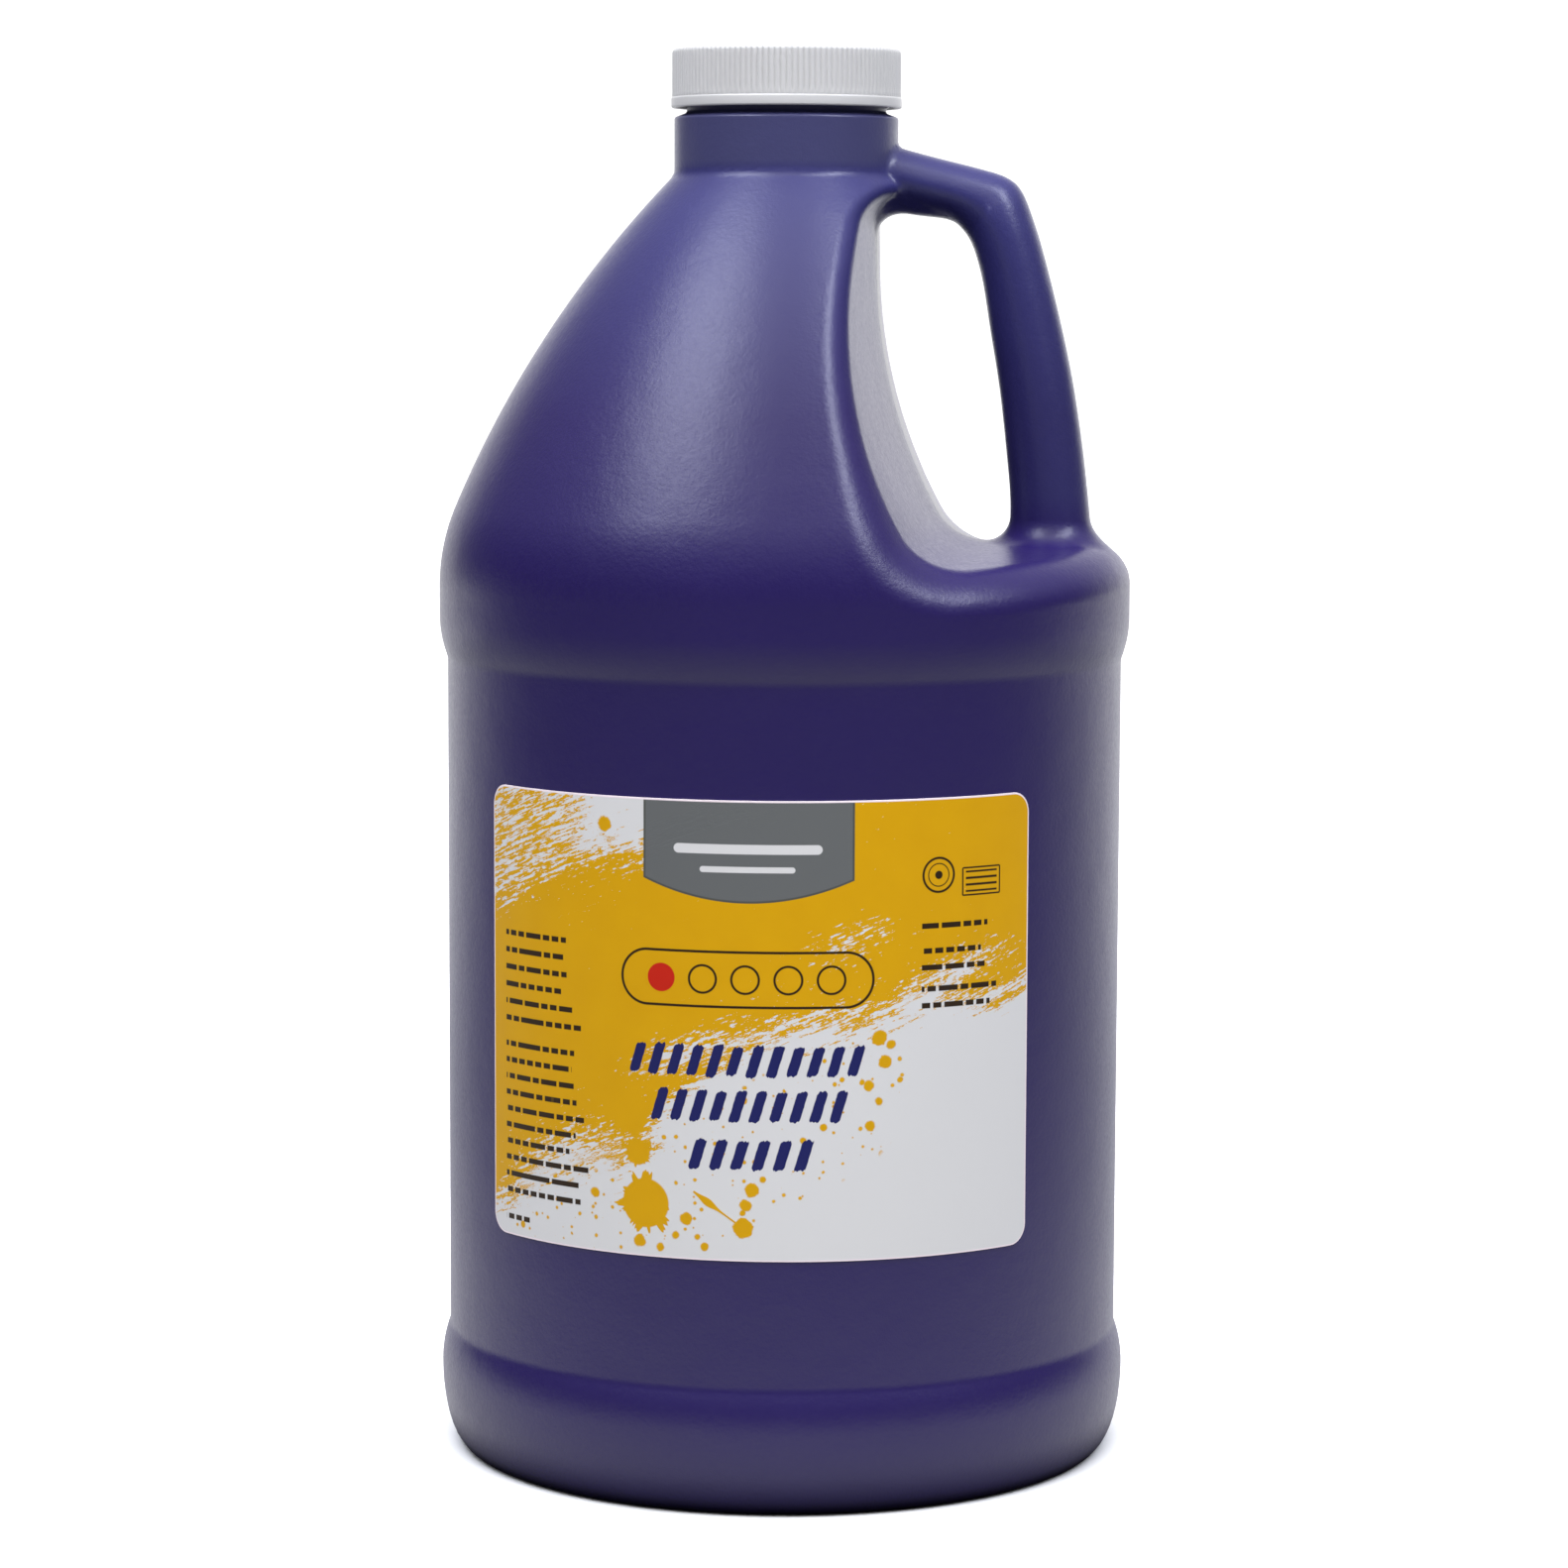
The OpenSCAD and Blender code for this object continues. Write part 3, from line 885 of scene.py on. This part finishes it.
def jug_finish():
    """Satin blow-moulded polyethylene, coloured by the paint behind it up to the neck."""
    m = Finish("jug_plastic", Specular_IOR_Level=0.5, IOR=1.5)
    cloud = noise(m.place, 0.03, 3)
    body = mix(cloud, linear((27, 16, 73)), linear((32, 20, 79)))
    radius = calc("SQRT", m.x * m.x + m.y * m.y)
    # Less paint shows through the handle and above the fill, and less again through the neck
    handle = ramp(m.x, 26.0, 36.0) * ramp(m.z, 162.0, 170.0)
    body = mix(handle, body, linear((38, 35, 82)))
    body = mix(ramp(m.z, FILL_Z - 14.0, FILL_Z + 22.0), body, linear((44, 43, 94)))
    neck = ramp(m.z, 225.5, 227.5) * ramp(radius, NECK_R + 0.2, NECK_R + 1.2, 1.0, 0.0)
    body = mix(neck, body, linear((58, 58, 96)))
    # Painted shade: the heel is darkened towards its foot where it meets the shelf, standing in for the
    # contact shadow there
    painted_foot_shade = ramp(m.z + cloud, 0.8, 3.4, 0.85, 0.0)
    m.set("Base Color", mix(painted_foot_shade, body, linear((12, 8, 22))))
    grain = noise(m.place, 1.4, 3, 0.6)
    m.set("Roughness", ramp(grain, 0.3, 0.7, 0.31, 0.39))
    waves = noise(m.place, 0.12, 2)
    parting = ramp(size_of(m.y), 0.15, 0.45, 1.0, 0.0)
    m.bump(grain * 0.045 + waves * 0.12 + parting * 0.05)
    return m


def cap_finish():
    """Satin white polypropylene, slightly uneven in colour."""
    m = Finish("cap_plastic", Specular_IOR_Level=0.5)
    cloud = noise(m.place, 0.08, 3)
    m.set("Base Color", mix(cloud, linear((185, 184, 184)), linear((191, 190, 189))))
    grain = noise(m.place, 2.5, 3, 0.6)
    m.set("Roughness", ramp(grain, 0.3, 0.7, 0.34, 0.46))
    m.bump(grain * 0.012)
    return m


def liner_finish():
    """Closed-cell foam with a fine skin."""
    m = Finish("liner_foam", Roughness=0.8)
    distance, shade = scatter(m.place, 1.6)
    m.set("Base Color", mix(shade, linear((236, 233, 224)), linear((246, 244, 238))))
    m.set("Roughness", ramp(distance, 0.0, 0.4, 0.7, 0.85))
    m.bump(ramp(distance, 0.1, 0.45, 0.0, 0.06))
    return m


def paint_finish():
    """Wet tempera with low ripples and a few paler clouds."""
    m = Finish("paint_wet", Coat_Weight=0.6, Coat_Roughness=0.08)
    cloud = noise(m.place, 0.05, 4)
    m.set("Base Color", mix(cloud, linear((56, 30, 120)), linear((68, 40, 140))))
    m.set("Roughness", ramp(cloud, 0.3, 0.7, 0.25, 0.4))
    m.bump(noise(m.place, 0.06, 2) * 0.5)
    return m


LABEL_WHITE = linear((207, 206, 205))
INK = linear((40, 26, 10))
NAVY = linear((25, 28, 85))
RED = linear((186, 32, 14))
TAB_GREY = linear((96, 98, 98))
TAB_RIM = linear((74, 76, 70))
# Painted highlight: a pale band along the label's cut edge, standing in for the light that the film's
# thickness catches
EDGE_HIGHLIGHT = linear((230, 216, 220))
EDGE_HIGHLIGHT_W = 0.3
STROKE_TILT = math.radians(20.5)

# Places where the brushed paint is scraped through: across and up the label, half length and half width
SCRAPED = [(-12.0, 35.0, 17.0, 5.0), (18.0, 54.5, 12.0, 5.5), (37.0, 48.5, 15.0, 4.5),
           (-34.0, 15.5, 18.0, 8.0)]
# Splashes with rays, and drops of the same paint: place across and up the label, and radius
SPLASHES = [(-17.2, 9.1, 4.5), (-20.2, 24.2, 3.6), (-18.6, 17.6, 2.3)]
DROPS = [(-18.2, 2.6, 1.1), (-14.5, 1.8, 0.7), (-10, 6.9, 1.1), (-11.8, 4.0, 0.65), (-8.0, 3.9, 0.5),
         (-0.2, 5.7, 1.7), (0.2, 9.5, 1.0), (1.2, 12.1, 1.2), (-26.9, 10.0, 0.9), (-25, 72.6, 1.3),
         (22.6, 37.6, 1.3), (24.6, 36.4, 0.8), (23.6, 33.5, 1.1), (20.8, 29.6, 0.9), (22.6, 26.9, 0.7),
         (21.1, 22.8, 0.9)]
# A thrown drop with a thin tail: place of the tail's start, half length and tilt
TAIL = (-8.7, 11.6, 4.6, math.radians(-35))
# Rows of slanted dabs in place of a heading: left end, right end, height and number of dabs
DAB_ROWS = [(-20.3, 20.3, 33.8, 12), (-16.3, 17.4, 26.2, 10), (-9.8, 11.7, 18.0, 6)]
DAB_HALF_H = 2.8
# Blocks of dashed lines: left end, right end, lowest line, highest line, distance between lines
TEXT_BLOCKS = [(-48.2, -29.0, 37.6, 52.3, 2.94), (-48.2, -28.0, 7.9, 33.2, 2.81),
               (-48.2, -40.0, 3.2, 3.3, 2.8), (30.0, 45.0, 42.6, 45.5, 2.8),
               (30.0, 45.2, 49.0, 51.9, 2.8), (30.0, 43.0, 56.0, 56.1, 2.8)]
DASH_PITCH = 2.1
DASH_GAP = 0.26
DASH_HALF_H = 0.46
# The outlined plate with its row of swatches: centre height, half width, half height
PLATE = (47.5, 21.5, 4.6)
SWATCHES = 5
SWATCH_PITCH = 7.2
SEAL = (33.1, 64.5)
LINED_BOX = (41.5, 63.1)
# The tab that hangs from the label's upper edge: its middle, half width, lowest point and rise to its sides
TAB_MIDDLE = 0.3
TAB_HALF_W = 17.9
TAB_LOW = 60.3
TAB_RISE = 3.8
# Bars on the tab: height, half width and half height
TAB_BARS = [(69.3, 12.5, 0.8), (65.9, 8.0, 0.5)]


def rounded_box(u, v, half_u, half_v, radius):
    """Distance to a rectangle with round corners, never under -radius inside it."""
    du = highest(size_of(u) - (half_u - radius), 0.0)
    dv = highest(size_of(v) - (half_v - radius), 0.0)
    return calc("SQRT", du * du + dv * dv) - radius


def inked(distance, soft=0.06):
    """1 inside a shape and 0 outside it, with a fine soft edge."""
    return ramp(distance, -soft, soft, 1.0, 0.0)


def length(u, v):
    return calc("SQRT", u * u + v * v)


def ring(u, v, radius, width):
    return inked(size_of(length(u, v) - radius) - width / 2)


def union(masks):
    """The highest of several masks at each place."""
    return functools.reduce(highest, masks)


def bell(u, middle, width):
    """1 at the middle, falling off smoothly over the width to both sides."""
    off = (u - middle) / width
    return calc("EXPONENT", -(off * off))


def rotated(u, v, tilt):
    """A place on the label, along and across a line at a tilt."""
    return u * math.cos(tilt) + v * math.sin(tilt), v * math.cos(tilt) - u * math.sin(tilt)


def scraped(u, v):
    """How strongly the paint is scraped through, 1 in the middle of each of those places."""
    worn = []
    for du, dv, half_length, half_width in SCRAPED:
        along, across = rotated(u - du, v - dv, STROKE_TILT)
        worn.append(1.0 - length(along / half_length, across / half_width))
    return highest(union(worn), 0.0)


def lower_edge(u):
    """Height of the brushed area's lower edge across the label."""
    swell = bell(u, 2.0, 19.0) * 11.0 + bell(u, 30.0, 11.0) * 6.0 - bell(u, -19.0, 5.0) * 3.5
    return u * 0.388 + 25.5 + swell


def brushed_yellow(u, v):
    """How much of the label the brushed paint covers, from 0 to 1."""
    along, across = rotated(u, v, STROKE_TILT)
    broad = noise(vector(along * 0.03, across * 0.2, 3.0), 1.0, 2)
    middle = noise(vector(along * 0.08, across * 0.7, 5.0), 1.0, 3, 0.6)
    fine = noise(vector(along * 0.2, across * 2.0, 7.0), 1.0, 4, 0.65)
    crumbs = noise(vector(along * 0.7, across * 1.4, 9.0), 1.0, 4, 0.65)
    above_low = v - lower_edge(u)
    below_high = u * 0.388 + 76.5 - v
    inside = lowest(above_low, below_high + 1.0)
    ragged = (broad - 0.5) * 12.0 + (middle - 0.5) * 16.0 + (fine - 0.5) * 18.0 + (crumbs - 0.5) * 18.0
    solid = ramp(inside + ragged, -0.25, 0.25)
    # Bare scratches and specks, most of them where the paint is scraped
    grit = fine * 0.5 + crumbs * 0.5 + scraped(u, v) * 0.16 - highest(inside, 0.0) * 0.004
    bare = ramp(grit, 0.585, 0.6)
    # Dry brushing over the upper left corner
    dry = ramp(fine * 0.65 + crumbs * 0.35, 0.485, 0.5) * ramp(above_low, 20.0, 24.0)
    dry = dry * ramp(u + (crumbs - 0.5) * 30.0, -31.0, -29.0, 1.0, 0.0)
    # Streaks of paint thrown past the edge of the brushed area
    thrown = ramp(grit + above_low * 0.022, 0.6, 0.615) * ramp(above_low, -9.0, -7.0)
    thrown = thrown * ramp(u, 24.0, 30.0, 1.0, 0.0)
    return union([solid * (1.0 - bare), dry, thrown * ramp(above_low, 0.0, 0.5, 1.0, 0.0)])


def splash(u, v, radius):
    """A round splash with short rays of different lengths."""
    away = length(u, v) + 0.001
    rays = noise(vector(u / away, v / away, radius), 3.2, 2, 0.7)
    return inked(away - radius * 0.93 - highest(rays - 0.5, 0.0) * radius * 1.9, 0.12)


def tail(u, v):
    """A thin throw of paint that ends in a drop."""
    start_u, start_v, half_length, tilt = TAIL
    along, across = rotated(u - start_u, v - start_v, tilt)
    width = bell(along, 3.0, 1.7) * 0.5 + 0.16
    return inked(size_of(across) - width) * inked(size_of(along - half_length) - half_length)


def paint_drops(u, v):
    """Splashes, drops and fine spatter of the same paint below the brushed area."""
    ragged = (noise(vector(u, v, 0.0), 0.8, 3, 0.6) - 0.5) * 2.0
    drops = [splash(u - du, v - dv, radius) for du, dv, radius in SPLASHES] + [tail(u, v)]
    drops += [inked(length(u - du, v - dv) + ragged * min(0.8, radius / 2.5) - radius, 0.12)
              for du, dv, radius in DROPS]
    near = ramp(size_of(v - 17.0 - u * 0.6), 6.0, 16.0, 1.0, 0.0) * ramp(u, 22.0, 30.0, 1.0, 0.0)
    for scale, most, size in ((0.3, 0.66, 2.2), (0.6, 0.7, 1.3)):
        distance, chance = scatter(vector(u, v, 0.0), scale)
        drops.append(inked(distance + ragged * 0.2 - (chance - most) * size, 0.1) * ramp(near, 0.25, 0.35))
    return union(drops)


def dab_row(u, v, left, right, height, count):
    """A row of short slanted brush marks with uneven ends."""
    pitch = (right - left) / count
    place = (u - left - (v - height) * 0.3) / pitch
    across = (calc("FRACT", place) - 0.5) * pitch
    ragged = noise(vector(u * 2.0, v * 0.5, 4.0), 1.0, 2) - 0.5
    reach = DAB_HALF_H - random(calc("FLOOR", place), height) * 0.4
    inside = inked(size_of(place * pitch - (right - left) / 2) - (right - left) / 2)
    return inked(rounded_box(across + ragged * 0.2, v - height + ragged, pitch * 0.27, reach, 0.6)) * inside


def greeked(u, v, left, right, low, high, pitch):
    """Lines of plain dashes of uneven length. Some gaps are closed, and the line ends are ragged."""
    seed = left * 0.31 + high
    line = calc("FLOOR", (v - low) / pitch + 0.5)
    place = (u + random(line, seed) * 9.0) / DASH_PITCH
    open_gap = ramp(random(calc("FLOOR", place), line, seed), 0.3, 0.31)
    gap = inked(calc("FRACT", place) - DASH_GAP, 0.03) * open_gap
    dash = inked(size_of(v - low - line * pitch) - DASH_HALF_H)
    end = right - random(line, seed, 4.0) * (right - left) * 0.25
    inside = ramp(u, left, left + 0.1) * ramp(u - end, -0.1, 0.0, 1.0, 0.0)
    return dash * inside * inked(size_of(v - (low + high) / 2) - (high - low) / 2 - 1.0) * (1.0 - gap)


def swatch_place(k):
    """Place of the swatch number k across the label."""
    return (k - (SWATCHES - 1) / 2) * SWATCH_PITCH


def small_marks(u, v):
    """Everything printed in dark ink: the plate and its rings, dashed lines, a double ring, a lined box."""
    height, half_w, half_h = PLATE
    marks = [inked(size_of(rounded_box(u, v - height, half_w, half_h, half_h)) - 0.22)]
    for k in range(1, SWATCHES):
        marks.append(ring(u - swatch_place(k), v - height, 2.3, 0.4))
    marks += [greeked(u, v, *block) for block in TEXT_BLOCKS]
    seal_u, seal_v = u - SEAL[0], v - SEAL[1]
    marks += [ring(seal_u, seal_v, 2.85, 0.4), ring(seal_u, seal_v, 1.9, 0.2)]
    marks.append(inked(length(seal_u, seal_v) - 0.7))
    box_u, box_v = u - LINED_BOX[0], v - LINED_BOX[1]
    marks.append(inked(size_of(rounded_box(box_u, box_v, 3.8, 2.3, 0.2)) - 0.14))
    lines = inked(size_of(calc("FRACT", box_v * 0.9) - 0.5) * 1.1 - 0.2)
    marks.append(lines * inked(rounded_box(box_u, box_v, 3.2, 1.8, 0.1)))
    return union(marks)


def with_tab(art, u, v):
    """The label's picture with the grey tab and its bars on top."""
    low = (u / TAB_HALF_W) * (u / TAB_HALF_W) * TAB_RISE + TAB_LOW
    inside = lowest(v - low, TAB_HALF_W - size_of(u))
    shade = mix(ramp(inside, 0.25, 0.45), TAB_RIM, TAB_GREY)
    art = mix(ramp(inside, -0.06, 0.06), art, shade)
    bars = union([inked(rounded_box(u, v - height, half_w, half_h, half_h))
                  for height, half_w, half_h in TAB_BARS])
    return mix(bars, art, LABEL_WHITE)


def label_finish():
    """Semi-gloss film with brushed yellow paint, plain marks and a thin pale band along its edge, a painted
    highlight where the film's edge catches the light.
    """
    m = Finish("label_film", Specular_IOR_Level=0.22)
    u = calc("ARCTAN2", m.x, -m.y) * LABEL_R
    v = m.z - float(LABEL_LOW[2])
    cover = union([brushed_yellow(u, v), paint_drops(u, v)])
    yellow = mix(noise(m.place, 0.15, 3), linear((200, 148, 0)), linear((207, 156, 0)))
    art = mix(cover, LABEL_WHITE, yellow)
    art = with_tab(art, u - TAB_MIDDLE, v)
    art = mix(small_marks(u, v), art, INK)
    art = mix(inked(length(u - swatch_place(0), v - PLATE[0]) - 2.4), art, RED)
    art = mix(union([dab_row(u, v, *row) for row in DAB_ROWS]), art, NAVY)
    # Painted highlight along the label's cut edge
    half_w, half_h = LABEL_W / 2 - EDGE_HIGHLIGHT_W, LABEL_H / 2 - EDGE_HIGHLIGHT_W
    edge = rounded_box(u, v - LABEL_H / 2, half_w, half_h, LABEL_CORNER - EDGE_HIGHLIGHT_W)
    art = mix(ramp(edge, -0.05, 0.05), art, EDGE_HIGHLIGHT)
    m.set("Base Color", art)
    m.set("Roughness", 0.46 - cover * 0.06)
    m.bump(noise(m.place, 1.5, 2) * 0.008 + cover * 0.01)
    return m


# ---------------------------------------------------------------------------
# The pieces

def place(piece, node, slot, body, finish):
    """Give a piece its material, say what it replaces and which body it rides on. The slot is not used."""
    finish.on(piece)
    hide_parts(node)
    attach(piece, body)


place(make_bottle(), "bottle", "jug_plastic", "bottle", jug_finish())
place(make_paint(), "paint", "paint_fill", "bottle", paint_finish())
place(make_label(), "front_label", "label_film", "bottle", label_finish())
place(make_liner(), "cap_liner", "liner_foam", "liner", liner_finish())
place(make_cap(), "cap", "cap_plastic", "cap", cap_finish())


# ---------------------------------------------------------------------------
# Stage, lights and camera

FLOOR_R = 4.0
# The world's strength as diffuse light, and how much the camera sees on top of that
WORLD_FILL = 0.35
WORLD_SEEN = 0.8
LAMP_DISTANCE = 1.2
LAMP_AIM_Z = 0.19
COOL = (0.93, 0.98, 1.13)
NEUTRAL = (1.0, 1.0, 1.0)


def grey(level):
    return (level, level, level, 1.0)


def make_floor():
    """A wide white floor. Only the camera sees all of its brightness, so that it doesn't flood the jug."""
    bpy.ops.mesh.primitive_circle_add(vertices=96, radius=FLOOR_R, fill_type="NGON")
    floor = bpy.context.object
    floor.name = "floor"
    m = Finish("floor_white", Roughness=0.9, Specular_IOR_Level=0.2)
    rays = m.tree.nodes.new("ShaderNodeLightPath")
    camera = Value(m.tree, rays.outputs["Is Camera Ray"])
    behind = ramp(m.y, -200.0, 500.0)
    away = calc("SQRT", m.x * m.x + m.y * m.y)
    # Painted shade: for light bounced onto the jug, the floor is nearly black under and just around its foot,
    # so that the heel's underside stays dark
    clear = ramp(away, 58.0, 70.0)
    bounced = mix(clear, grey(0.02), mix(behind, grey(0.2), grey(0.5)))
    m.set("Base Color", mix(camera, bounced, grey(0.95)))
    m.set("Emission Color", grey(1.0))
    glossy = Value(m.tree, rays.outputs["Is Glossy Ray"])
    # Painted reflection: the floor glows for glossy rays, which the jug's lower part reflects, and stays dark
    # next to the foot. For the camera, its glow fades out towards the foot so that the lamps' contact shadow
    # shows.
    mirrored = ramp(away, 120.0, 420.0, 0.78, 0.05) + ramp(m.y, 200.0, 900.0, 0.0, 1.2)
    seen = ramp(away, 58.0, 95.0, 0.0, 0.9)
    m.set("Emission Strength", seen * camera + mirrored * glossy * clear)
    m.on(floor)


def make_world():
    """White for the camera. For reflections, bright behind the jug and dark on the camera's side."""
    world = bpy.data.worlds.new("studio")
    bpy.context.scene.world = world
    world.use_nodes = True
    tree = world.node_tree
    background = tree.nodes["Background"]
    split = tree.nodes.new("ShaderNodeSeparateXYZ")
    tree.links.new(tree.nodes.new("ShaderNodeTexCoord").outputs["Generated"], split.inputs[0])
    depth, height = (Value(tree, split.outputs[k]) for k in (1, 2))
    rays = tree.nodes.new("ShaderNodeLightPath")
    camera, glossy = (Value(tree, rays.outputs[name]) for name in ("Is Camera Ray", "Is Glossy Ray"))
    backdrop = ramp(depth, 0.62, 1.0, 0.0, 2.1) * ramp(height, 0.15, 0.6, 1.0, 0.2)
    mirrored = backdrop + ramp(height, 0.1, 0.6, 0.0, 0.5) + ramp(height, 0.85, 1.0, 0.0, 0.5)
    strength = glossy * (mirrored - WORLD_FILL) + WORLD_FILL
    feed(tree, background.inputs["Color"], grey(1.0))
    feed(tree, background.inputs["Strength"], strength + camera * WORLD_SEEN)


def facing(azimuth, down, roll):
    """The rotation of a camera or a lamp that looks down at the jug from an azimuth, with a roll."""
    look = Euler((math.pi / 2 - down, 0, azimuth)).to_matrix()
    return (look @ Euler((0, 0, roll)).to_matrix()).to_euler()


def add_softbox(name, azimuth, elevation, size, radiance, spin=0, mirrored=True):
    """A rectangular lamp that faces the dome, turned by spin. At azimuth 0 it is on the label's side."""
    lamp = bpy.data.lights.new(name, "AREA")
    lamp.shape = "RECTANGLE"
    lamp.size, lamp.size_y = size
    lamp.energy = radiance * math.pi * size[0] * size[1]
    lamp.color = COOL if mirrored else NEUTRAL
    softbox = bpy.data.objects.new(name, lamp)
    a, e = math.radians(azimuth), math.radians(elevation)
    level, rise = LAMP_DISTANCE * math.cos(e), LAMP_DISTANCE * math.sin(e)
    softbox.location = (level * math.sin(a), -level * math.cos(a), LAMP_AIM_Z + rise)
    softbox.rotation_euler = facing(a, e, math.radians(spin))
    softbox.visible_glossy = mirrored
    bpy.context.scene.collection.objects.link(softbox)


# The camera: angles in degrees, distance from the axis and height in metres, lens and sensor in mm
CAMERA_AZIMUTH = 6.1
CAMERA_TILT = 6.30
CAMERA_ROLL = 0.21
CAMERA_DISTANCE = 0.828
CAMERA_HEIGHT = 0.2092
CAMERA_LENS = 107.6
CAMERA_SENSOR = 36


def make_camera():
    azimuth = math.radians(CAMERA_AZIMUTH)
    data = bpy.data.cameras.new("camera")
    data.sensor_width = CAMERA_SENSOR
    data.lens = CAMERA_LENS
    camera = bpy.data.objects.new("camera", data)
    away = CAMERA_DISTANCE
    camera.location = (away * math.sin(azimuth), -away * math.cos(azimuth), CAMERA_HEIGHT)
    camera.rotation_euler = facing(azimuth, math.radians(CAMERA_TILT), math.radians(CAMERA_ROLL))
    bpy.context.scene.collection.objects.link(camera)
    bpy.context.scene.camera = camera


make_floor()
make_world()
add_softbox("key_softbox", -51, 54, (0.57, 0.85), 6.6, spin=33)
add_softbox("side_softbox", 67, 49, (0.34, 0.8), 11.0)
add_softbox("top_softbox", 0, 89, (0.8, 0.8), 2.8, mirrored=False)
add_softbox("fill_softbox", 6, 58, (0.9, 0.9), 5.8, mirrored=False)
make_camera()
bpy.context.scene.view_settings.view_transform = "Standard"
